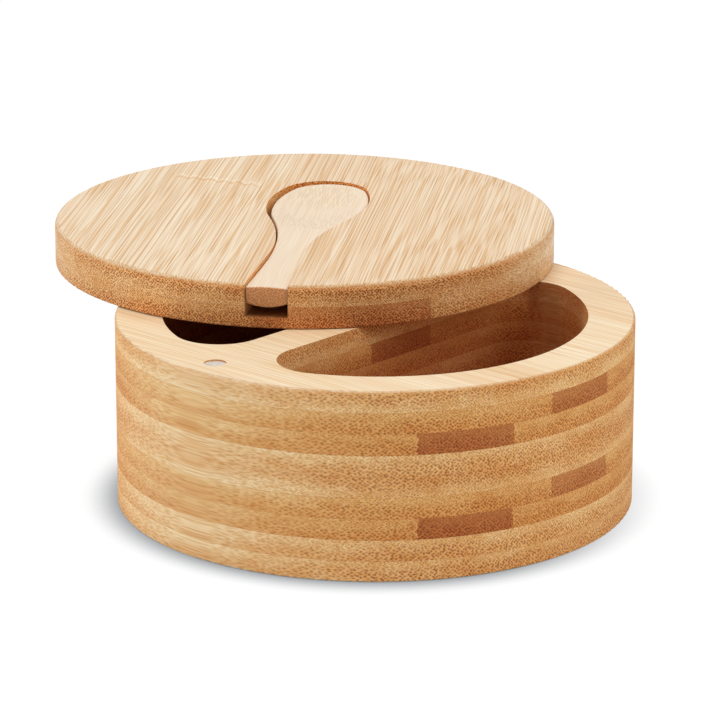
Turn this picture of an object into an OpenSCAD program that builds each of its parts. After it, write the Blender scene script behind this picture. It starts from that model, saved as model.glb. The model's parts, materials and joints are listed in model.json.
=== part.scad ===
// Round two-compartment salt box of laminated bamboo.
// The lid swivels on an upright pin at the back and carries a spoon in its top.
// The origin is the middle of the base. +Z is up, -Y is the magnet side and +Y the pivot side.

/* [Body] */
// Diameter of the round body
body_d = 120; // [112:1:150]
// Thickness of one bamboo ply of the body
ply_t = 4.9; // [4:0.1:6]
// Number of plies glued into the body
ply_count = 9; // [6:1:12]
// Thickness of the wood under the compartments
floor_t = 9.8; // [4:0.1:12]
// Radius of the eased bottom edge
foot_r = 0.4; // [0.1:0.1:3.5]
// Radius of the eased outer edge of the rim
rim_r = 0.7; // [0.2:0.1:2]

/* [Compartments] */
// Thickness of the wall between the two compartments
divider_t = 11.2; // [6:0.2:16]
// Thickness of the outer wall where it is thinnest
wall_t = 10.6; // [6:0.2:14]
// Distance from the body's axis to the centre of each curved wall
bay_shift = 1; // [0:0.1:3]
// Radius of the corner between the divider and the curved wall
bay_corner_r = 10.5; // [4:0.5:14]

/* [Lid] */
// How far the lid's edge stands out past the body
lid_overhang = 0; // [-1:0.1:3]
// Thickness of one bamboo ply of the lid
lid_ply_t = 5.1; // [4:0.05:7]
// Radius of the rounded top edge of the lid
lid_top_r = 1.4; // [0.4:0.1:3]
// Radius of the eased bottom edge of the lid
lid_bottom_r = 0.3; // [0.1:0.1:1.5]
// Running gap between the lid and the rim
lid_gap = 0.15; // [0.05:0.05:0.5]
// Angle by which the lid stands open, clockwise from above
lid_open = 55.1; // [0:0.1:180]

/* [Pivot] */
// Distance from the rim's outer edge to the pivot and to the magnets
edge_inset = 7.2; // [5:0.1:9]
// Diameter of the pivot pin
pin_d = 5; // [3:0.1:6]
// Length of the pin pressed into the body
pin_depth = 16; // [8:0.5:24]
// Diameter of the head that keeps the pin in the lid
pin_head_d = 6.8; // [6.5:0.1:7.4]
// Thickness of that head
pin_head_t = 1.5; // [0.8:0.1:2]
// Play of the head above the bush
pin_play = 0.1; // [0.05:0.05:0.3]
// Radial running clearance between pin and bush
pin_clearance = 0.05; // [0.01:0.01:0.1]
// Outer diameter of the bush
bush_d = 8; // [7.6:0.1:9]
// Length of the bush
bush_l = 5; // [3:0.1:5.5]
// Room above the pin head
head_room = 0.6; // [0.2:0.1:0.8]

/* [Magnets] */
// Diameter of the two disc magnets
magnet_d = 5; // [3:0.1:6]
// Thickness of each magnet
magnet_t = 3; // [1:0.1:4]
// Radial glue gap round a magnet
magnet_fit = 0.05; // [0.02:0.01:0.2]
// Depth of each magnet below the face it is set in
magnet_sink = 0.3; // [0:0.05:0.6]

/* [Spoon slot] */
// Length of the slot from the lid's edge to its closed end
slot_l = 92.3; // [70:0.1:100]
// Width of the slot at the lid's edge
slot_mouth_w = 10.1; // [8:0.1:14]
// Width of the slot at its neck
slot_neck_w = 7.8; // [6:0.1:8.5]
// Widest part of the slot, round the bowl
slot_bowl_w = 24.5; // [22:0.1:30]
// Radius of the slot's closed end
slot_end_r = 10.6; // [8:0.1:11]
// Radius of the slot's bulging sides
slot_side_r = 40; // [25:1:60]
// Radius of the hollow curves at the neck
slot_neck_r = 80; // [40:1:90]
// Depth of the slot below the lid's top
slot_depth = 7.6; // [6:0.1:8]
// Angle between the slot and the line from its mouth to the lid's centre
slot_turn = 1.5; // [0:0.1:3]
// Sideways place of the slot's mouth on the lid's edge
slot_shift = -0.3; // [-2:0.1:2]

/* [Spoon] */
// Gap between the slot and the spoon's bowl
bowl_gap = 1; // [0.5:0.1:1.5]
// Gap between the slot and the spoon's handle at the neck
handle_gap = 0.4; // [0.3:0.05:0.8]
// Gap between the slot and the spoon's handle at the lid's edge
mouth_gap = 0.2; // [0.2:0.05:0.8]
// Angle by which the spoon lies askew in its slot
spoon_turn = 0.5; // [0:0.1:0.5]
// Depth of the spoon's top face below the lid's top
spoon_sink = 0.45; // [0.2:0.05:1.2]
// Gap under the bowl
spoon_seat = 0.1; // [0.05:0.05:0.3]
// Thickness of the handle along its middle
handle_t = 4.9; // [3:0.1:5]
// Radius of the handle's rounded underside
handle_under_r = 12.5; // [8:0.5:20]
// Radius of the bowl's underside across the spoon
bowl_under_r = 15.5; // [13:0.5:20]
// Radius of the bowl's underside along the spoon
bowl_long_r = 44; // [36:1:60]
// Depth of the hollow in the bowl
dish_depth = 1.6; // [0.6:0.1:2.5]
// Width of the rim left round the hollow
dish_rim = 1.6; // [1:0.1:3]

/* [Hidden] */
$fn = 96;

body_r = body_d / 2;
body_h = ply_t * ply_count;
lid_r = body_r + lid_overhang;
lid_t = 2 * lid_ply_t;
lid_z = body_h + lid_gap;
pivot_y = body_r - edge_inset;
// Overshoot that keeps a cutter's faces off the faces it cuts
cut = 1;

// Each compartment is bounded by the divider, one large arc and two corner arcs
bay_x = divider_t / 2;
bay_r = body_r - wall_t - bay_shift;
corner_x = bay_x + bay_corner_r;
corner_y = sqrt(pow(bay_r - bay_corner_r, 2) - pow(corner_x - bay_shift, 2));

bush_bore_h = bush_l + pin_play + pin_head_t + head_room;
magnet_bore_h = magnet_sink + magnet_t;

// Steps along each arc of the slot's outline
arc_steps = 14;
// Distance from the slot's mouth to its widest part
bowl_x = widest_x(slot_bowl_w, slot_end_r, slot_side_r);
// The hollow in the bowl, as half a chord and an arc radius each way
dish_half_w = slot_bowl_w / 2 - bowl_gap - dish_rim;
dish_half_l = slot_l - bowl_x - bowl_gap - dish_rim;
dish_across_r = (pow(dish_half_w, 2) + pow(dish_depth, 2)) / (2 * dish_depth);
dish_along_r = (pow(dish_half_l, 2) + pow(dish_depth, 2)) / (2 * dish_depth);

light_bamboo = [0.86, 0.70, 0.48];
mid_bamboo = [0.80, 0.61, 0.38];
dark_bamboo = [0.69, 0.46, 0.27];
pale_wood = [0.93, 0.84, 0.70];
// Tone of each body ply from the base up
ply_tones = [mid_bamboo, light_bamboo, dark_bamboo, dark_bamboo, light_bamboo, light_bamboo,
    dark_bamboo, dark_bamboo, light_bamboo];

// Distance from the mouth to the widest part of an outline whose end arc meets its side arc
function widest_x(bowl_w, end_r, side_r) =
    slot_l - slot_end_r - sqrt(pow(side_r - end_r, 2) - pow(side_r - bowl_w / 2, 2));

function arc_points(centre, r, from, to) =
    [for (i = [0:arc_steps]) centre + r * [cos(from + (to - from) * i / arc_steps),
        sin(from + (to - from) * i / arc_steps)]];

// One side of the spoon's outline, from start along +X to the closed end, where the mouth is x = 0
function half_outline(start, mouth_w, neck_w, bowl_w, end_r, side_r, neck_r) =
    let (
        end_c = [slot_l - slot_end_r, 0],
        side_c = [widest_x(bowl_w, end_r, side_r), bowl_w / 2 - side_r],
        neck_dy = neck_w / 2 + neck_r - side_c.y,
        neck_c = [side_c.x - sqrt(pow(side_r + neck_r, 2) - pow(neck_dy, 2)), neck_w / 2 + neck_r],
        neck_a = atan2(side_c.y - neck_c.y, side_c.x - neck_c.x),
        end_a = atan2(end_c.y - side_c.y, end_c.x - side_c.x)
    )
    concat(
        [[start, mouth_w / 2]],
        arc_points(neck_c, neck_r, -90, neck_a),
        arc_points(side_c, side_r, neck_a + 180, end_a),
        arc_points(end_c, end_r, end_a, 0)
    );

module outline(start, mouth_w, neck_w, bowl_w, end_r, side_r, neck_r) {
    half = half_outline(start, mouth_w, neck_w, bowl_w, end_r, side_r, neck_r);
    mirrored = [for (i = [len(half) - 2:-1:0]) [half[i].x, -half[i].y]];
    polygon(concat(half, mirrored));
}

module slot_outline() {
    outline(-cut, slot_mouth_w, slot_neck_w, slot_bowl_w, slot_end_r, slot_side_r, slot_neck_r);
}

module spoon_outline() {
    outline(handle_gap, slot_mouth_w - 2 * mouth_gap, slot_neck_w - 2 * handle_gap,
        slot_bowl_w - 2 * bowl_gap, slot_end_r - bowl_gap, slot_side_r - bowl_gap,
        slot_neck_r + handle_gap);
}

// A disc whose outer edges are rounded below and above
module rounded_disc(r, h, low_r, high_r) {
    rotate_extrude() {
        difference() {
            square([r, h]);
            if (low_r > 0) {
                edge_waste(r, low_r);
            }
            if (high_r > 0) {
                translate([0, h]) mirror([0, 1]) edge_waste(r, high_r);
            }
        }
    }
}

// What rounding takes off a square corner at [r, 0]
module edge_waste(r, edge_r) {
    difference() {
        translate([r - edge_r, -cut]) square([edge_r + cut, edge_r + cut]);
        translate([r - edge_r, edge_r]) circle(edge_r);
    }
}

// Plan of one compartment, on the +X side
module bay_outline() {
    // Multiple of the corner's distance at which the wedge is safely outside the arc
    reach = 2;
    corner_dx = corner_x - bay_shift;
    edge_y = corner_y * (bay_x - bay_shift) / corner_dx;
    intersection() {
        translate([bay_shift, 0]) circle(bay_r);
        polygon([
            [bay_x, -edge_y],
            [bay_shift + reach * corner_dx, -reach * corner_y],
            [reach * body_r, -reach * corner_y],
            [reach * body_r, reach * corner_y],
            [bay_shift + reach * corner_dx, reach * corner_y],
            [bay_x, edge_y]
        ]);
    }
    translate([bay_x, -corner_y]) square([bay_corner_r, 2 * corner_y]);
    for (side = [-1, 1]) {
        translate([corner_x, side * corner_y]) circle(bay_corner_r);
    }
}

// Bores down into the rim for the pin and the magnet
module rim_bores() {
    translate([0, pivot_y, body_h - pin_depth]) cylinder(d = pin_d, h = pin_depth + cut);
    translate([0, -pivot_y, body_h - magnet_bore_h])
        cylinder(r = magnet_d / 2 + magnet_fit, h = magnet_bore_h + cut);
}

// Ply number i of the body, counted from the base
module body_ply(i) {
    bottom = (i - 1) * ply_t;
    top = i * ply_t;
    bay_floor = floor_t > bottom ? floor_t : bottom - cut;
    color(ply_tones[(i - 1) % len(ply_tones)])
    difference() {
        translate([0, 0, bottom])
            rounded_disc(body_r, ply_t, i == 1 ? foot_r : 0, i == ply_count ? rim_r : 0);
        if (top > floor_t) {
            for (side = [0, 1]) {
                mirror([side, 0, 0]) translate([0, 0, bay_floor])
                    linear_extrude(top - bay_floor + cut) bay_outline();
            }
        }
        if (top > body_h - max(pin_depth, magnet_bore_h)) {
            rim_bores();
        }
    }
}

// Places what is drawn for the closed lid, with z = 0 at its underside, in the open position
module on_lid() {
    translate([0, pivot_y, lid_z]) rotate(-lid_open) translate([0, -pivot_y, 0]) children();
}

// Turns a length drawn along +X from the mouth into place on the lid
module along_slot() {
    translate([lid_r, slot_shift, 0]) rotate(180 - slot_turn) children();
}

// Cuts that pass through both lid plies
module lid_cuts() {
    translate([0, 0, lid_t - slot_depth]) along_slot() linear_extrude(slot_depth + cut) slot_outline();
    translate([0, pivot_y, -cut]) cylinder(d = bush_d, h = bush_bore_h + cut);
    translate([0, -pivot_y, -cut]) cylinder(r = magnet_d / 2 + magnet_fit, h = magnet_bore_h + cut);
}

module lid_lower_ply() {
    color(dark_bamboo)
    on_lid() difference() {
        rounded_disc(lid_r, lid_ply_t, lid_bottom_r, 0);
        lid_cuts();
    }
}

module lid_upper_ply() {
    color(light_bamboo)
    on_lid() difference() {
        translate([0, 0, lid_ply_t]) rounded_disc(lid_r, lid_ply_t, 0, lid_top_r);
        lid_cuts();
    }
}

// A barrel lying along X, round in section, whose side is an arc of along_r
module barrel(across_r, along_r) {
    rotate([0, 90, 0]) rotate_extrude() {
        intersection() {
            translate([across_r - along_r, 0]) circle(along_r);
            translate([0, -along_r]) square([along_r, 2 * along_r]);
        }
    }
}

// The spoon's flat top face is at z = 0 here
module spoon_shape() {
    bowl_t = slot_depth - spoon_sink - spoon_seat;
    difference() {
        intersection() {
            translate([0, 0, -bowl_t]) linear_extrude(bowl_t) spoon_outline();
            union() {
                translate([bowl_x, 0, bowl_under_r - bowl_t]) barrel(bowl_under_r, bowl_long_r);
                translate([-cut, 0, handle_under_r - handle_t]) rotate([0, 90, 0])
                    cylinder(r = handle_under_r, h = slot_l + 2 * cut);
            }
        }
        translate([bowl_x, 0, dish_across_r - dish_depth]) barrel(dish_across_r, dish_along_r);
    }
}

module spoon() {
    color(pale_wood)
    on_lid() translate([0, 0, lid_t - spoon_sink]) along_slot() rotate(-spoon_turn) spoon_shape();
}

module body_magnet() {
    color("silver")
    translate([0, -pivot_y, body_h - magnet_bore_h]) cylinder(d = magnet_d, h = magnet_t);
}

module lid_magnet() {
    color("silver")
    on_lid() translate([0, -pivot_y, magnet_sink]) cylinder(d = magnet_d, h = magnet_t);
}

module pivot_pin() {
    shank_l = pin_depth + lid_gap + bush_l + pin_play;
    color("gainsboro")
    translate([0, pivot_y, body_h - pin_depth]) {
        cylinder(d = pin_d, h = shank_l);
        translate([0, 0, shank_l]) cylinder(d = pin_head_d, h = pin_head_t);
    }
}

module pivot_bush() {
    color("goldenrod")
    on_lid() translate([0, pivot_y, 0]) difference() {
        cylinder(d = bush_d, h = bush_l);
        translate([0, 0, -cut]) cylinder(r = pin_d / 2 + pin_clearance, h = bush_l + 2 * cut);
    }
}

for (i = [1:ply_count]) {
    body_ply(i);
}
lid_lower_ply();
lid_upper_ply();
spoon();
body_magnet();
lid_magnet();
pivot_pin();
pivot_bush();
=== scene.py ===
"""Round two-compartment salt box of laminated bamboo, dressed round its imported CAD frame."""
import json
import math

import bmesh
import bpy
from mathutils import Matrix, Vector

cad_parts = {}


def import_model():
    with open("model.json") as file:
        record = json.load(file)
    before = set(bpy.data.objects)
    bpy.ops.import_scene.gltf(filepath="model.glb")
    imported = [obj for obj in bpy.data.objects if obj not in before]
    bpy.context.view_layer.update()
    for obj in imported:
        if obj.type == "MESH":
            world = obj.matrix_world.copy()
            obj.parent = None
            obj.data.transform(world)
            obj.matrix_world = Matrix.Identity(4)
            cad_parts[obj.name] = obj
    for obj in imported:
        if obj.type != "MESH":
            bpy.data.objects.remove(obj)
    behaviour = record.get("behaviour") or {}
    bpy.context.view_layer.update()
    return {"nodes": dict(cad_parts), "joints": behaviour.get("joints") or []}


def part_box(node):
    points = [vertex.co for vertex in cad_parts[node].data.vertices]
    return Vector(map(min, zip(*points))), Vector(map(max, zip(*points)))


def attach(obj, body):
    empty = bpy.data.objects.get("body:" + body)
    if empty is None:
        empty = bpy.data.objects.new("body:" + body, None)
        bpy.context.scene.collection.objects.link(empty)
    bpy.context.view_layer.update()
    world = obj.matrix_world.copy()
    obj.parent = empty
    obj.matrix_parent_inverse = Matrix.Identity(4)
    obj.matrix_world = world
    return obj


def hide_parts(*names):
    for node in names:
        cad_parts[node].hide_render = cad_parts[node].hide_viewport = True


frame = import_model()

# What shows of each node: the CAD node itself, or the piece that stands for it
PIECES = dict(frame["nodes"])
MM = 0.001

# Sizes read from the frame
BODY_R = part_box("body_ply_1")[1].x
RIM_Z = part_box("body_ply_9")[1].z
PIVOT = Vector(frame["joints"][0]["pos_m"])
LID_LOW, LID_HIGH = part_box("lid_upper_ply")
LID_CENTRE = (LID_LOW + LID_HIGH) / 2
LID_R = (LID_HIGH.x - LID_LOW.x) / 2
# Turn of the open lid about the pivot, negative clockwise from above
LID_TURN = math.atan2(LID_CENTRE.y - PIVOT.y, LID_CENTRE.x - PIVOT.x) + math.pi / 2

# The spoon's slot and the spoon, in mm, along X from the slot's mouth
SLOT_L = 92.3
MOUTH_W, NECK_W, BOWL_W = 10.1, 7.8, 24.5
END_R, SIDE_R, NECK_R = 10.6, 40.0, 80.0
SLOT_DEPTH, SLOT_SHIFT = 7.6, -0.3
SLOT_TURN, SPOON_TURN = math.radians(1.5), math.radians(0.5)
BOWL_GAP, HANDLE_GAP, MOUTH_GAP = 1.0, 0.4, 0.2
SPOON_SINK, SPOON_SEAT = 0.45, 0.1
HANDLE_T, HANDLE_UNDER_R = 4.9, 12.5
BOWL_UNDER_R, BOWL_LONG_R, BOWL_REACH = 15.5, 44.0, 30.0
BOWL_U = SLOT_L - END_R - math.sqrt((SIDE_R - END_R) ** 2 - (SIDE_R - BOWL_W / 2) ** 2)
DISH_U, DISH_NEAR, DISH_FAR, DISH_W, DISH_DEPTH = 72.0, 26.0, 18.5, 10.8, 2.0
CORNER_R, EDGE_R = 0.7, 0.35
# How far handle and bowl melt into each other underneath
BLEND = 0.8
# The neck swells to one side, towards the slot's wall, and its face rises a little
SWELL, SWELL_U, SWELL_REACH = 0.7, 46.0, 24.0
RISE, RISE_U, RISE_REACH = 0.2, 45.0, 27.0
# The handle's face is crowned across, fading out towards the neck
CROWN, CROWN_END, CROWN_FADE = 0.012, 30.0, 20.0
# Where the rings of the spoon's mesh close on its middle line
SPINE_FROM, SPINE_TO = 4.0, SLOT_L - END_R
RING_SHARES = (1.0, 0.94, 0.86, 0.77, 0.68, 0.58, 0.48, 0.38, 0.28, 0.19, 0.11, 0.05, 0.0)
EDGE_STEPS = 4

# Camera, solved from the outlines in the photograph, with its angles in degrees
CAMERA_AZIMUTH, CAMERA_ELEVATION = 42.4, 17.51
CAMERA_DISTANCE = 0.9559
CAMERA_TARGET = Vector((-0.00256, -0.00234, 0.03246))
CAMERA_LENS, SENSOR_W = 206.4, 36.0

# Each lamp's azimuth and elevation in degrees, its width and height in m, and its power
LAMP_DISTANCE = 1.2
LAMPS = {
    "top": (0.0, 78.0, (0.9, 0.9), 8.2),
    "left": (-42.0, 14.0, (0.6, 0.6), 4.15),
    "right": (116.0, 42.0, (0.6, 0.8), 4.4),
}
SKY = 0.42
FLOOR_HALF = 6.0
# How far the contact shadow reaches, and its tone where it is deepest
SHADOW_REACH, SHADOW = 0.011, (0.28, 0.3, 0.32)
WHITE = (1.0, 1.0, 1.0)

# Bamboo colours, as linear light
TONES = {
    "pale": (0.86, 0.63, 0.36),
    "tan": (0.79, 0.51, 0.23),
    "lid": (0.80, 0.575, 0.335),
    "red": (0.64, 0.36, 0.17),
    "brown": (0.53, 0.235, 0.085),
    "russet": (0.58, 0.285, 0.11),
}
# What those colours are multiplied by in one place or another: stains of the wood, and painted light and
# shade as well
STAINS_AND_PAINTED_LIGHT = {
    "aged": (0.93, 0.84, 0.74),
    "band": (0.92, 0.8, 0.64),
    "streak": (0.93, 0.82, 0.66),
    "dark hair": (0.86, 0.66, 0.4),
    "pale hair": (1.05, 1.1, 1.16),
    "dense side": (0.91, 0.78, 0.65),
    # Painted sheen: flat faces made paler and bluer, as if they reflected the white room
    "flat": (0.98, 1.12, 1.39),
    # Painted shade on rounded edges
    "rounded": (0.8, 0.72, 0.66),
    "glue": (0.8, 0.66, 0.55),
    "end": (1.0, 0.86, 0.66),
    # Painted shade on the compartments' walls
    "painted_bay_shade": (0.65, 0.465, 0.36),
    # Painted warm light on the slot's walls, which makes them brighter and warmer
    "slot": (1.2, 1.0, 0.75),
    # Painted shade on sunk faces: the floors of the compartments and of the slot
    "painted_sunk_shade": (0.45, 0.27, 0.15),
    "halo": (1.05, 1.12, 1.2),
    "scar": (0.92, 0.72, 0.5),
}
# The ground between fibre bundles is paler than the strip, and the bundles are a deep
# orange-brown; both are stronger on end grain
FACE_GROUND, END_GROUND = (1.08, 1.15, 1.22), (1.22, 1.3, 1.38)
FACE_BUNDLE, END_BUNDLE = (0.74, 0.56, 0.32), (0.46, 0.23, 0.09)
STRIP_W = 20.1
# How much of each axis lies along the bundles' rows, which run at 45 degrees to both
ROW_SHARE = 0.71
# Radius of what is milled away in mm, the painted shade or light on its walls, and the depth at which
# that is full
# Painted shade on the compartments' walls, deepening downwards
BAY = (49.4, "painted_bay_shade", 14.0)
# Painted warm light on the slot's walls
SLOT = (54.0, "slot", 0.0)

# Each body ply's strip tones from -Y to +Y, where one of its joints lies in mm, and whether its
# dark side is the lower one
PALE = ("pale",) * 7
LEFT_BROWN = ("tan", "tan", "brown", "tan", "tan", "tan", "tan")
MIDDLE_BROWN = ("tan", "tan", "tan", "russet", "tan", "tan", "tan")
BODY_PLIES = {
    9: (PALE, -8.0, False),
    8: (MIDDLE_BROWN, -7.5, True),
    7: (LEFT_BROWN, -18.0, True),
    6: (PALE, -3.0, True),
    5: (PALE, -13.0, False),
    4: (MIDDLE_BROWN, -7.5, True),
    3: (LEFT_BROWN, -18.0, True),
    2: (PALE, -5.0, True),
    1: (PALE, -9.0, True),
}
# The same for the lid's plies, and the middle, slant and half length of the scar that a joint of
# the bamboo stem leaves on the face
LID_PLIES = {
    "lid_lower_ply": (("lid", "lid", "lid", "red", "red", "lid", "lid"), 16.0, True, None),
    "lid_upper_ply": (("lid",) * 7, -9.5, False, ((-28.0, -26.0), 0.3, 12.5)),
}
# The grain pattern that a ply starts from: one for each body ply, and another for the lid
BODY_SEED, LID_SEED = 3.1, 40.0


class Graph:
    """The nodes of a material or world, written as calls that return sockets."""

    def __init__(self, owner, output="ShaderNodeOutputMaterial"):
        self.owner = owner
        owner.use_nodes = True
        self.tree = owner.node_tree
        self.tree.nodes.clear()
        self.output = self.node(output)

    def node(self, kind, **settings):
        made = self.tree.nodes.new(kind)
        for name, value in settings.items():
            setattr(made, name, value)
        return made

    def put(self, socket, value):
        """Links a socket, or sets a number or colour."""
        if isinstance(value, bpy.types.NodeSocket):
            self.tree.links.new(value, socket)
        else:
            socket.default_value = value

    def math(self, operation, a, b=0.0, c=0.0, clamp=False):
        made = self.node("ShaderNodeMath", operation=operation, use_clamp=clamp)
        for socket, value in zip(made.inputs, (a, b, c)):
            self.put(socket, value)
        return made.outputs[0]

    def add(self, a, b):
        return self.math("ADD", a, b)

    def times(self, a, b):
        return self.math("MULTIPLY", a, b)

    def most(self, a, b):
        return self.math("MAXIMUM", a, b)

    def size(self, value):
        return self.math("ABSOLUTE", value)

    def flip(self, value):
        """1 less the value."""
        return self.math("SUBTRACT", 1.0, value)

    def centred(self, share, spread):
        """A share from 0 to 1, spread evenly to both sides of 0."""
        return self.times(self.add(share, -0.5), spread)

    def vector(self, x, y, z=0.0):
        made = self.node("ShaderNodeCombineXYZ")
        for socket, value in zip(made.inputs, (x, y, z)):
            self.put(socket, value)
        return made.outputs[0]

    def split(self, vector):
        made = self.node("ShaderNodeSeparateXYZ")
        self.put(made.inputs[0], vector)
        return made.outputs[0], made.outputs[1], made.outputs[2]

    def noise(self, place, stretch, shift=0.0, detail=2.0, roughness=0.5):
        """Noise with so many grains to a unit along each axis; shift picks another pattern."""
        x, y, z = (self.times(value, by) for value, by in zip(place, stretch))
        made = self.node("ShaderNodeTexNoise", noise_dimensions="3D")
        self.put(made.inputs["Vector"], self.vector(x, y, self.add(z, shift)))
        made.inputs["Scale"].default_value = 1.0
        made.inputs["Detail"].default_value = detail
        made.inputs["Roughness"].default_value = roughness
        return made.outputs["Fac"]

    def cells(self, vector, randomness):
        """Distance to the nearest of scattered points, one per unit square, and its own colour."""
        made = self.node("ShaderNodeTexVoronoi", voronoi_dimensions="2D", feature="F1")
        self.put(made.inputs["Vector"], vector)
        made.inputs["Scale"].default_value = 1.0
        made.inputs["Randomness"].default_value = randomness
        return made.outputs["Distance"], made.outputs["Color"]

    def ramp(self, value, low, high, to_low=0.0, to_high=1.0):
        """A smooth step from to_low at low to to_high at high."""
        made = self.node("ShaderNodeMapRange", interpolation_type="SMOOTHSTEP")
        for name, given in (("Value", value), ("From Min", low), ("From Max", high),
                            ("To Min", to_low), ("To Max", to_high)):
            self.put(made.inputs[name], given)
        return made.outputs[0]

    def mix(self, factor, a, b, blend="MIX"):
        made = self.node("ShaderNodeMix", data_type="RGBA", blend_type=blend)
        self.put(made.inputs["Factor"], factor)
        for socket, value in ((made.inputs[6], a), (made.inputs[7], b)):
            if isinstance(value, tuple) and len(value) == 3:
                value = (*value, 1.0)
            self.put(socket, value)
        return made.outputs[2]

    def blend(self, factor, a, b):
        """The same as mix, for plain numbers."""
        made = self.node("ShaderNodeMix", data_type="FLOAT")
        for socket, value in zip((made.inputs["Factor"], made.inputs[2], made.inputs[3]), (factor, a, b)):
            self.put(socket, value)
        return made.outputs[0]

    def tint(self, colour, by):
        return self.mix(1.0, colour, by, "MULTIPLY")

    def steps(self, value, edges, colours):
        """The colour of the stretch between edges that value lies in."""
        made = self.node("ShaderNodeValToRGB")
        ramp = made.color_ramp
        ramp.interpolation = "CONSTANT"
        while len(ramp.elements) < len(colours):
            ramp.elements.new(1.0)
        for element, edge, colour in zip(ramp.elements, edges, colours):
            element.position = edge
            element.color = (*colour, 1.0)
        self.put(made.inputs[0], value)
        return made.outputs[0]

    def plain(self, kind, colour, strength=None):
        """A shader of one colour, and of some strength if it gives light."""
        made = self.node(kind)
        if isinstance(colour, tuple):
            colour = (*colour, 1.0)
        self.put(made.inputs["Color"], colour)
        if strength is not None:
            made.inputs["Strength"].default_value = strength
        return made.outputs[0]

    def finish(self, unseen, seen):
        """Ends the graph in one shader for rays that show the background, and one for the rest."""
        path = self.node("ShaderNodeLightPath")
        shows = self.most(path.outputs["Is Camera Ray"], path.outputs["Is Glossy Ray"])
        shows = self.most(shows, path.outputs["Is Transmission Ray"])
        pick = self.node("ShaderNodeMixShader")
        for socket, value in zip(pick.inputs, (shows, unseen, seen)):
            self.put(socket, value)
        self.put(self.output.inputs[0], pick.outputs[0])

    def surface(self, colour, roughness, bump, strength, distance, **fixed):
        """Ends the graph in one principled shader."""
        shader = self.node("ShaderNodeBsdfPrincipled")
        self.put(shader.inputs["Base Color"], colour)
        self.put(shader.inputs["Roughness"], roughness)
        for name, value in fixed.items():
            shader.inputs[name.replace("_", " ")].default_value = value
        relief = self.node("ShaderNodeBump")
        relief.inputs["Strength"].default_value = strength
        relief.inputs["Distance"].default_value = distance
        self.put(relief.inputs["Height"], bump)
        self.put(shader.inputs["Normal"], relief.outputs[0])
        self.put(self.output.inputs[0], shader.outputs[0])
        return self.owner


class Wood(Graph):
    """A graph of wood, with the place in mm and the way the surface faces, grain along X."""

    def __init__(self, name, turn):
        super().__init__(bpy.data.materials.new(name))
        mapping = self.node("ShaderNodeMapping", vector_type="POINT")
        spin = Matrix.Rotation(-turn, 3, "Z")
        mapping.inputs["Location"].default_value = (PIVOT - spin @ PIVOT) / MM
        mapping.inputs["Rotation"].default_value = (0.0, 0.0, -turn)
        mapping.inputs["Scale"].default_value = (1 / MM, 1 / MM, 1 / MM)
        coordinates = self.node("ShaderNodeTexCoord")
        self.put(mapping.inputs["Vector"], coordinates.outputs["Object"])
        facing = self.node("ShaderNodeMapping", vector_type="VECTOR")
        facing.inputs["Rotation"].default_value = (0.0, 0.0, -turn)
        self.put(facing.inputs["Vector"], coordinates.outputs["Normal"])
        self.place = self.split(mapping.outputs[0])
        normal = self.split(facing.outputs[0])
        self.end, self.up = self.size(normal[0]), normal[2]

    def bundles(self, fibre, per_mm, wide, narrow):
        """Fibre bundles cut across, in staggered rows: 1 in the middle of each, 0 between."""
        across, up = (self.times(value, ROW_SHARE * per_mm) for value in fibre[1:])
        rows = self.vector(self.add(across, up), self.math("SUBTRACT", across, up))
        distance, colour = self.cells(rows, 0.6)
        strength = self.ramp(self.split(colour)[0], 0.0, 1.0, 0.7, 1.0)
        return self.times(self.ramp(distance, wide, narrow), strength)


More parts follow.
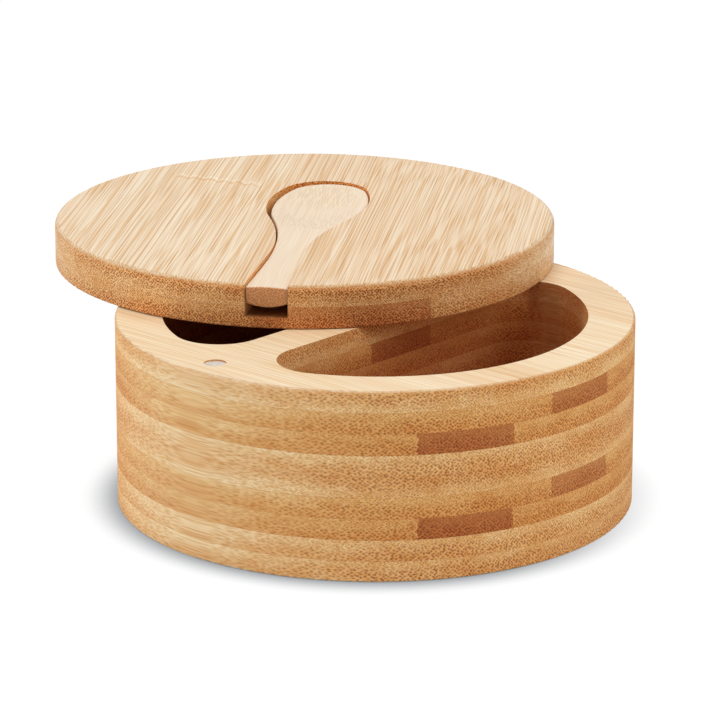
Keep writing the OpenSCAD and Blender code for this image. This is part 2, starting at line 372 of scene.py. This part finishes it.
class Ply(Wood):
    """A ply of bamboo strips glued edge to edge, as a solid: fibre bundles run along the grain,
    so they show as dots on end grain and as streaks on the faces."""

    def __init__(self, name, node, seed, turn, dark_low):
        super().__init__(name, turn)
        self.seed = seed
        self.end_share = self.ramp(self.end, 0.05, 0.85)
        self.flat = self.ramp(self.size(self.up), 0.3, 0.9)
        self.rounded = self.times(self.ramp(self.up, 0.2, 0.5), self.ramp(self.up, 1.0, 0.9))
        # How high in the ply, and how far from its strips' dense, dark side, with a ragged limit
        lowest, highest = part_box(node)
        above = self.add(self.place[2], -lowest.z / MM)
        self.height = self.math("DIVIDE", above, (highest.z - lowest.z) / MM, clamp=True)
        rise = self.height if dark_low else self.flip(self.height)
        ragged = self.noise(self.place, (0.03, 0.11, 0.25), seed)
        self.paleness = self.add(rise, self.centred(ragged, 1.1))

    def stain_or_paint_light(self, amount, name):
        """Multiplies the wood's colour by one of its stains, or by painted light or shade, in full where
        amount is 1.
        """
        self.base = self.mix(amount, self.base, self.tint(self.base, STAINS_AND_PAINTED_LIGHT[name]))

    def lay_strips(self, tones, joint_y):
        """Gives each strip its tone and its own chances, with slightly rough joints."""
        first = joint_y - STRIP_W * math.ceil((joint_y + BODY_R / MM) / STRIP_W)
        saw = self.noise(self.place, (0.05, 0.3, 1.4), self.seed, 1.0)
        edge_y = self.add(self.place[1], self.centred(saw, 1.6))
        across = self.math("DIVIDE", self.add(edge_y, -first), STRIP_W * len(tones))
        strip = self.math("FLOOR", self.times(across, len(tones)))
        dice = self.node("ShaderNodeTexWhiteNoise", noise_dimensions="2D")
        self.put(dice.inputs["Vector"], self.vector(strip, self.seed))
        self.chances = self.split(dice.outputs["Color"])
        edges = [i / len(tones) for i in range(len(tones))]
        self.base = self.steps(across, edges, [TONES[tone] for tone in tones])
        self.stain_or_paint_light(self.ramp(self.chances[2], 0.0, 1.0, 0.0, 0.85), "aged")

    def run_fibres(self):
        """Fibres run at a slight slope of their own in each strip, and wander a little."""
        x, y, z = self.place
        wander = self.noise((x, y, z), (0.014, 0.05, 0.1), self.seed * 7.3, 1.0)
        sway = self.noise((x, z, y), (0.022, 0.06, 0.05), self.seed, 1.0)

        def run(value, chance, slant, drift, drift_mm, spread):
            slope = self.times(x, self.centred(chance, slant))
            shift = self.math("MULTIPLY_ADD", drift, drift_mm, self.times(chance, spread))
            return self.add(self.add(value, slope), shift)

        fibre_y = run(y, self.chances[0], 0.04, wander, 1.2, 31.0)
        fibre_z = run(z, self.chances[1], 0.03, sway, 0.8, 17.0)
        self.fibre = (x, fibre_y, fibre_z)

    def dots(self, per_mm):
        """Bundles, large and dark on the dense side, and fine and faint on the pale side."""
        wide = self.add(0.36, self.times(self.end_share, 0.17))
        narrow = self.add(0.08, self.times(self.end_share, 0.14))
        large = self.bundles(self.fibre, per_mm, wide, narrow)
        small = self.bundles(self.fibre, per_mm * 1.3, wide, narrow)
        dot = self.blend(self.ramp(self.paleness, 0.95, 0.45), self.times(small, 0.75), large)
        # Each bundle is darker or paler along its length
        life = self.noise(self.fibre, (0.05, 1.3, 1.3))
        return self.times(dot, self.ramp(life, 0.3, 0.65, 0.55, 1.0))

    def streak(self, bite):
        """Bands and streaks along the grain, fainter on flat faces, and hair-fine ones."""
        x, fibre_y, _ = self.fibre
        calm = self.ramp(self.flat, 0.0, 1.0, 1.0, 0.5)
        band = self.noise((x, fibre_y, self.place[2]), (0.015, 0.1, 0.2))
        self.stain_or_paint_light(self.times(self.ramp(band, 0.35, 0.7, 0.0, 0.7), calm), "band")
        streak = self.noise(self.fibre, (0.012, 0.7, 0.5), roughness=0.6)
        self.stain_or_paint_light(self.times(self.ramp(streak, 0.4, 0.7, 0.0, 0.6), calm), "streak")
        hair = self.noise(self.fibre, (0.018, 2.8, 2.8), detail=1.0)
        self.stain_or_paint_light(self.ramp(hair, 0.5, 0.62, 0.0, 0.57 * bite), "dark hair")
        self.stain_or_paint_light(self.ramp(hair, 0.46, 0.36), "pale hair")

    def stain_faces(self):
        """Tints each way that the surface faces, and the joints between plies; on flat faces the tint is
        a painted sheen, on rounded edges painted shade.
        """
        self.stain_or_paint_light(self.times(self.ramp(self.paleness, 0.95, 0.15), self.flip(self.flat)), "dense side")
        # Painted sheen: flat faces made paler and bluer, as if they reflected the white room
        self.stain_or_paint_light(self.flat, "flat")
        # Painted shade: rounded edges darkened
        self.stain_or_paint_light(self.rounded, "rounded")
        joint = self.most(self.ramp(self.height, 0.03, 0.0), self.ramp(self.height, 0.97, 1.0))
        self.stain_or_paint_light(self.times(joint, 0.5), "glue")
        self.stain_or_paint_light(self.end_share, "end")

    def mill(self, radius, stain_or_paint_light, depth):
        """Paints shade or light on the walls of what is milled away, and returns where they are."""
        x, y, z = self.place
        reach = self.math("SQRT", self.add(self.times(x, x), self.times(y, y)))
        within = self.ramp(reach, radius + 4.0, radius + 2.0)
        wall = self.times(within, self.ramp(self.up, 0.9, 0.6))
        amount = wall
        # Painted shade in the compartments: full on long-grain walls, while on end-grain walls it grows
        # from none at the rim to full at depth
        if depth:
            down = self.ramp(z, RIM_Z / MM, RIM_Z / MM - depth)
            amount = self.times(wall, self.most(down, self.ramp(self.end, 0.72, 0.52)))
        # Painted shade in the compartments, painted warm light on the slot's walls
        self.stain_or_paint_light(amount, stain_or_paint_light)
        return wall

    def scar(self, middle, slant, half):
        """The scar of a stem joint: scallops, one to each few bundles, on a slanting line."""
        x, y, _ = self.place
        off_y = self.add(y, -middle[1])
        waves = self.size(self.math("SINE", self.times(y, 0.85)))
        drift = self.noise((0.0, y, 0.0), (0.0, 0.3, 0.0), 4.0)
        line = self.add(self.times(waves, 1.6), self.centred(drift, 5.0))
        off_x = self.add(self.add(x, -middle[0]), self.add(self.times(off_y, -slant), line))
        length = self.ramp(self.size(off_y), half, half - 3.0)
        gaps = self.ramp(self.noise((x, y, 0.0), (0.4, 1.1, 0.0), detail=1.0), 0.38, 0.55, 0.25, 1.0)
        halo = self.ramp(self.size(self.add(off_x, 1.6)), 1.6, 0.4)
        self.stain_or_paint_light(self.times(halo, length), "halo")
        scar = self.times(self.ramp(self.size(off_x), 1.3, 0.3), length)
        self.stain_or_paint_light(self.times(scar, gaps), "scar")

    def wood(self, dot, wall, bite):
        """Lays the bundles over the ground, as dark as bite says, and ends the graph."""
        side_end = self.times(self.end_share, self.flip(self.flat))
        ground = self.tint(self.base, self.mix(side_end, FACE_GROUND, END_GROUND))
        deep_tone = self.tint(self.base, self.mix(self.end_share, FACE_BUNDLE, END_BUNDLE))
        amount = self.times(dot, self.times(self.add(0.6, self.times(self.end_share, 0.35)), bite))
        amount = self.times(amount, self.ramp(self.rounded, 0.0, 1.0, 1.0, 0.5))
        colour = self.mix(amount, ground, deep_tone)
        depth = self.times(dot, self.add(0.25, self.times(self.end_share, 0.75)))
        relief = self.math("SUBTRACT", 0.5, depth)
        roughness = self.add(0.44, self.times(dot, 0.1))
        roughness = self.add(roughness, self.times(self.end_share, 0.28))
        roughness = self.most(roughness, self.times(wall, 0.8))
        return self.surface(colour, roughness, relief, 0.25, 0.00006, Specular_IOR_Level=0.4)


def bamboo(name, node, tones, joint_y, seed, milled, turn=0.0, dark_low=True,
           per_mm=1.6, bite=1.0, outer_face=False, scar=None):
    """The material of one ply. node names the CAD piece whose height it takes, milled is BAY or
    SLOT, per_mm is the number of bundles to a mm on the dense side, bite is how dark they are, and
    outer_face says that the upper face is the outside of the box; every other upward face gets
    painted shade."""
    g = Ply(name, node, seed, turn, dark_low)
    g.lay_strips(tones, joint_y)
    g.run_fibres()
    dot = g.dots(per_mm)
    g.streak(bite)
    g.stain_faces()
    wall = g.mill(*milled)
    # Painted shade on upward faces that are not the outside: the floors of the compartments and of the
    # slot
    if not outer_face:
        g.stain_or_paint_light(g.ramp(g.up, 0.5, 0.9), "painted_sunk_shade")
    if scar:
        g.scar(*scar)
    return g.wood(dot, wall, bite)


def spoon_wood():
    """Pale, close-grained bamboo: dots on the end, and flecks where the bowl cuts the fibres."""
    g = Wood("spoon_wood", LID_TURN)
    x, y, z = g.place
    end_share = g.ramp(g.end, 0.3, 0.95)
    sway = g.noise(g.place, (0.03, 0.06, 0.1), detail=1.0)
    fibre = (x, g.add(y, g.times(sway, 2.0)), g.add(z, g.times(sway, 3.0)))
    dot = g.bundles(fibre, 1.9, 0.55, 0.2)
    streak = g.noise(fibre, (0.03, 1.6, 1.2), detail=3.0)
    base = g.mix(g.ramp(streak, 0.4, 0.7, 0.0, 0.6), (0.775, 0.635, 0.475), (0.74, 0.57, 0.37))
    base = g.mix(end_share, base, g.tint(base, (0.88, 0.52, 0.3)))
    fleck = g.ramp(g.end, 0.01, 0.12, 0.12, 0.32)
    amount = g.times(dot, g.add(fleck, g.times(end_share, 0.6)))
    colour = g.mix(amount, base, g.tint(base, (0.6, 0.42, 0.25)))
    return g.surface(colour, 0.5, g.times(dot, -1.0), 0.1, 0.00005, Specular_IOR_Level=0.4)


def turned_metal(name, colour, roughness, rings=900.0, clouds=300.0):
    """Metal turned or plated, with faint rings round the upright axis."""
    g = Graph(bpy.data.materials.new(name))
    place = g.split(g.node("ShaderNodeTexCoord").outputs["Object"])
    grit = g.noise(place, (rings, rings, rings * 4), detail=3.0)
    cloud = g.noise(place, (clouds, clouds, clouds))
    tint = g.mix(g.ramp(cloud, 0.3, 0.7), colour, tuple(0.86 * c for c in colour))
    rough = g.ramp(grit, 0.2, 0.8, roughness * 0.8, roughness * 1.2)
    return g.surface(tint, rough, grit, 0.06, 0.00002, Metallic=1.0)


def arc(centre, radius, start, end, steps):
    """Points of an arc, given as turns in radians, both ends included."""
    turns = [start + (end - start) * i / steps for i in range(steps + 1)]
    return [(centre[0] + radius * math.cos(a), centre[1] + radius * math.sin(a)) for a in turns]


def spoon_outline():
    """One side of the spoon's outline in mm, from the middle of its end face to the bowl's tip."""
    half_w, neck_w = MOUTH_W / 2 - MOUTH_GAP, NECK_W / 2 - HANDLE_GAP
    end_r, side_r, neck_r = END_R - BOWL_GAP, SIDE_R - BOWL_GAP, NECK_R + HANDLE_GAP
    end_c = (SLOT_L - END_R, 0.0)
    side_c = (BOWL_U, BOWL_W / 2 - SIDE_R)
    neck_y = neck_w + neck_r
    neck_c = (BOWL_U - math.sqrt((side_r + neck_r) ** 2 - (neck_y - side_c[1]) ** 2), neck_y)
    neck_a = math.atan2(side_c[1] - neck_y, side_c[0] - neck_c[0])
    end_a = math.atan2(-side_c[1], end_c[0] - side_c[0])
    start = HANDLE_GAP
    face = [(start, (half_w - CORNER_R) * i / 4) for i in range(4)]
    corner = arc((start + CORNER_R, half_w - CORNER_R), CORNER_R, math.pi, math.pi / 2, 5)
    gap = neck_c[0] - start - CORNER_R
    edge = [(start + CORNER_R + gap * i / 8, half_w + (neck_w - half_w) * i / 8) for i in range(1, 8)]
    neck = arc(neck_c, neck_r, -math.pi / 2, neck_a, 18)
    side = arc(side_c, side_r, neck_a + math.pi, end_a, 20)
    return face + corner + edge + neck + side[1:] + arc(end_c, end_r, end_a, 0.0, 16)[1:]


def neck_swell(u):
    """How far the spoon's neck stands out on its fuller side, in mm."""
    off = min(1.0, abs(u - SWELL_U) / SWELL_REACH)
    return SWELL * (1 - off ** 4) ** 2


def smooth_least(a, b):
    """The lower of two heights, with the crease between them rounded."""
    share = max(0.0, min(1.0, 0.5 + (b - a) / (2 * BLEND)))
    return b * (1 - share) + a * share - BLEND * share * (1 - share)


def spoon_top(u, v):
    """Height of the spoon's face in mm, with its soft hollow."""
    along = (u - DISH_U) / (DISH_FAR if u > DISH_U else DISH_NEAR)
    out = min(1.0, along ** 2 + (v / DISH_W) ** 2)
    crown = CROWN * v * v * max(0.0, min(1.0, (CROWN_END - u) / CROWN_FADE))
    rise = RISE * max(0.0, 1.0 - ((u - RISE_U) / RISE_REACH) ** 2)
    return -SPOON_SINK - DISH_DEPTH * (1 - out) ** 1.5 - crown + rise


def spoon_under(u, v):
    """Height of the spoon's underside in mm: a round handle that runs into a fuller bowl."""
    handle = -SPOON_SINK - HANDLE_T + HANDLE_UNDER_R
    handle -= math.sqrt(HANDLE_UNDER_R ** 2 - min(abs(v), HANDLE_UNDER_R) ** 2)
    along = min(abs(u - BOWL_U), BOWL_REACH)
    reach = BOWL_UNDER_R - BOWL_LONG_R + math.sqrt(BOWL_LONG_R ** 2 - along ** 2)
    if reach <= abs(v):
        return handle
    bowl = SPOON_SEAT - SLOT_DEPTH + BOWL_UNDER_R - math.sqrt(reach ** 2 - v ** 2)
    return smooth_least(handle, bowl)


def inset(outline, depth):
    """A closed outline moved inwards by that depth."""
    made = []
    for i, point in enumerate(outline):
        before, after = outline[i - 1], outline[(i + 1) % len(outline)]
        along = Vector((after[0] - before[0], after[1] - before[1])).normalized()
        made.append(Vector(point) + Vector((along.y, -along.x)) * depth)
    return made


def spoon_rings():
    """Rings of points in mm, from the middle of the spoon's face, over its rounded edge and down
    its side, to the middle of its underside."""
    half = spoon_outline()
    outline = [(u, v + neck_swell(u)) for u, v in half] + [(u, -v) for u, v in reversed(half[1:-1])]
    inner = inset(outline, EDGE_R)
    spine = [Vector((max(SPINE_FROM, min(SPINE_TO, u)), 0.0)) for u, _ in outline]

    def face_ring(share, height):
        """A ring a share of the way from the edge's inner side to the spine."""
        points = [p.lerp(middle, share) for p, middle in zip(inner, spine)]
        return [(p.x, p.y, height(p.x, p.y)) for p in points]

    def edge_ring(turn, height, sign):
        """A ring on the rounded edge, turn from 0 at the face to a right angle at the side."""
        outer = inset(outline, EDGE_R * (1 - math.sin(turn)))
        drop = sign * EDGE_R * (1 - math.cos(turn))
        return [(p.x, p.y, height(q.x, q.y) - drop) for p, q in zip(outer, inner)]

    turns = [math.pi / 2 * i / EDGE_STEPS for i in range(1, EDGE_STEPS + 1)]
    rings = [face_ring(share, spoon_top) for share in RING_SHARES]
    rings += [edge_ring(turn, spoon_top, 1) for turn in turns]
    rings += [edge_ring(turn, spoon_under, -1) for turn in reversed(turns)]
    rings += [face_ring(share, spoon_under) for share in reversed(RING_SHARES)]
    return rings


def spoon_place():
    """From the spoon's own mm to its place in the slot of the open lid."""
    pivot = Matrix.Translation(PIVOT)
    turn_lid = pivot @ Matrix.Rotation(LID_TURN, 4, "Z") @ Matrix.Translation(-PIVOT)
    mouth = Matrix.Translation((LID_R, SLOT_SHIFT * MM, LID_HIGH.z))
    aim = Matrix.Rotation(math.pi - SLOT_TURN - SPOON_TURN, 4, "Z")
    return turn_lid @ mouth @ aim @ Matrix.Scale(MM, 4)


def linked(name, data):
    """A new object in the scene."""
    obj = bpy.data.objects.new(name, data)
    bpy.context.scene.collection.objects.link(obj)
    return obj


def spoon():
    """The spoon as one mesh, which stands for the CAD node."""
    place = spoon_place()
    mesh = bmesh.new()
    rows = [[mesh.verts.new(place @ Vector(p)) for p in ring] for ring in spoon_rings()]
    for upper, lower in zip(rows, rows[1:]):
        for i in range(len(upper)):
            j = (i + 1) % len(upper)
            mesh.faces.new((upper[i], lower[i], lower[j], upper[j]))
    bmesh.ops.remove_doubles(mesh, verts=mesh.verts, dist=1e-6)
    bmesh.ops.dissolve_degenerate(mesh, dist=1e-7, edges=mesh.edges)
    bmesh.ops.recalc_face_normals(mesh, faces=mesh.faces)
    for face in mesh.faces:
        face.smooth = True
    data = bpy.data.meshes.new("spoon_body")
    mesh.to_mesh(data)
    mesh.free()
    obj = linked("spoon_body", data)
    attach(obj, "spoon")
    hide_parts("spoon")
    PIECES["spoon"] = obj


def dress(obj, material):
    obj.data.materials.clear()
    obj.data.materials.append(material)


def dress_frame():
    for ply, (tones, joint_y, dark_low) in BODY_PLIES.items():
        node = f"body_ply_{ply}"
        material = bamboo(f"bamboo_{ply}", node, tones, joint_y, ply * BODY_SEED, BAY,
                          dark_low=dark_low, outer_face=ply == len(BODY_PLIES))
        dress(PIECES[node], material)
    for node, (tones, joint_y, dark_low, scar) in LID_PLIES.items():
        material = bamboo(node, node, tones, joint_y, LID_SEED + dark_low, SLOT, LID_TURN,
                          dark_low, per_mm=1.85, bite=1.5, outer_face=node == "lid_upper_ply",
                          scar=scar)
        dress(PIECES[node], material)
    dress(PIECES["spoon"], spoon_wood())
    nickel = turned_metal("nickel", (0.74, 0.69, 0.62), 0.5)
    dress(PIECES["body_magnet"], nickel)
    dress(PIECES["lid_magnet"], nickel)
    dress(PIECES["pivot_pin"], turned_metal("steel", (0.6, 0.6, 0.61), 0.3))
    dress(PIECES["pivot_bush"], turned_metal("brass", (0.72, 0.5, 0.2), 0.35))


def floor_material():
    """White, with a soft grey shadow close round what stands on it, deeper on the magnet's side."""
    g = Graph(bpy.data.materials.new("floor"))
    near = g.node("ShaderNodeAmbientOcclusion", samples=16)
    near.inputs["Distance"].default_value = SHADOW_REACH
    y = g.split(g.node("ShaderNodeTexCoord").outputs["Object"])[1]
    deepness = g.times(g.ramp(near.outputs["AO"], 1.0, 0.4), g.ramp(y, 0.04, -0.03, 0.3, 1.0))
    shade = g.mix(deepness, WHITE, SHADOW)
    both = g.node("ShaderNodeAddShader")
    g.put(both.inputs[0], g.plain("ShaderNodeBsdfDiffuse", (0.06, 0.06, 0.06)))
    g.put(both.inputs[1], g.plain("ShaderNodeEmission", shade, 0.97))
    g.finish(g.plain("ShaderNodeBsdfDiffuse", (0.62, 0.62, 0.62)), both.outputs[0])
    return g.owner


def floor():
    mesh = bpy.data.meshes.new("floor")
    corners = [(x * FLOOR_HALF, y * FLOOR_HALF, 0.0) for x, y in ((-1, -1), (1, -1), (1, 1), (-1, 1))]
    mesh.from_pydata(corners, [], [(0, 1, 2, 3)])
    obj = linked("floor", mesh)
    dress(obj, floor_material())


def world():
    """An even sky, which looks plain white."""
    g = Graph(bpy.data.worlds.new("studio"), "ShaderNodeOutputWorld")
    bpy.context.scene.world = g.owner
    g.finish(g.plain("ShaderNodeBackground", WHITE, SKY), g.plain("ShaderNodeBackground", WHITE))


def aim(obj, azimuth, elevation, distance):
    """Sets an object at those angles in degrees round the camera's target, and points it there."""
    a, e = math.radians(azimuth), math.radians(elevation)
    back = Vector((math.sin(a) * math.cos(e), -math.cos(a) * math.cos(e), math.sin(e)))
    obj.location = CAMERA_TARGET + back * distance
    obj.rotation_mode = "QUATERNION"
    obj.rotation_quaternion = (-back).to_track_quat("-Z", "Y")


def lamps():
    """Soft boxes of white light."""
    for name, (azimuth, elevation, size, power) in LAMPS.items():
        data = bpy.data.lights.new(name, "AREA")
        data.shape = "RECTANGLE"
        data.size, data.size_y = size
        data.energy = power
        aim(linked(name, data), azimuth, elevation, LAMP_DISTANCE)


def camera():
    data = bpy.data.cameras.new("camera")
    data.lens = CAMERA_LENS
    data.sensor_width = SENSOR_W
    data.clip_start, data.clip_end = 0.05, 50.0
    obj = linked("camera", data)
    aim(obj, CAMERA_AZIMUTH, CAMERA_ELEVATION, CAMERA_DISTANCE)
    bpy.context.scene.camera = obj


camera()
floor()
world()
lamps()
bpy.context.scene.view_settings.view_transform = "Standard"
spoon()
dress_frame()
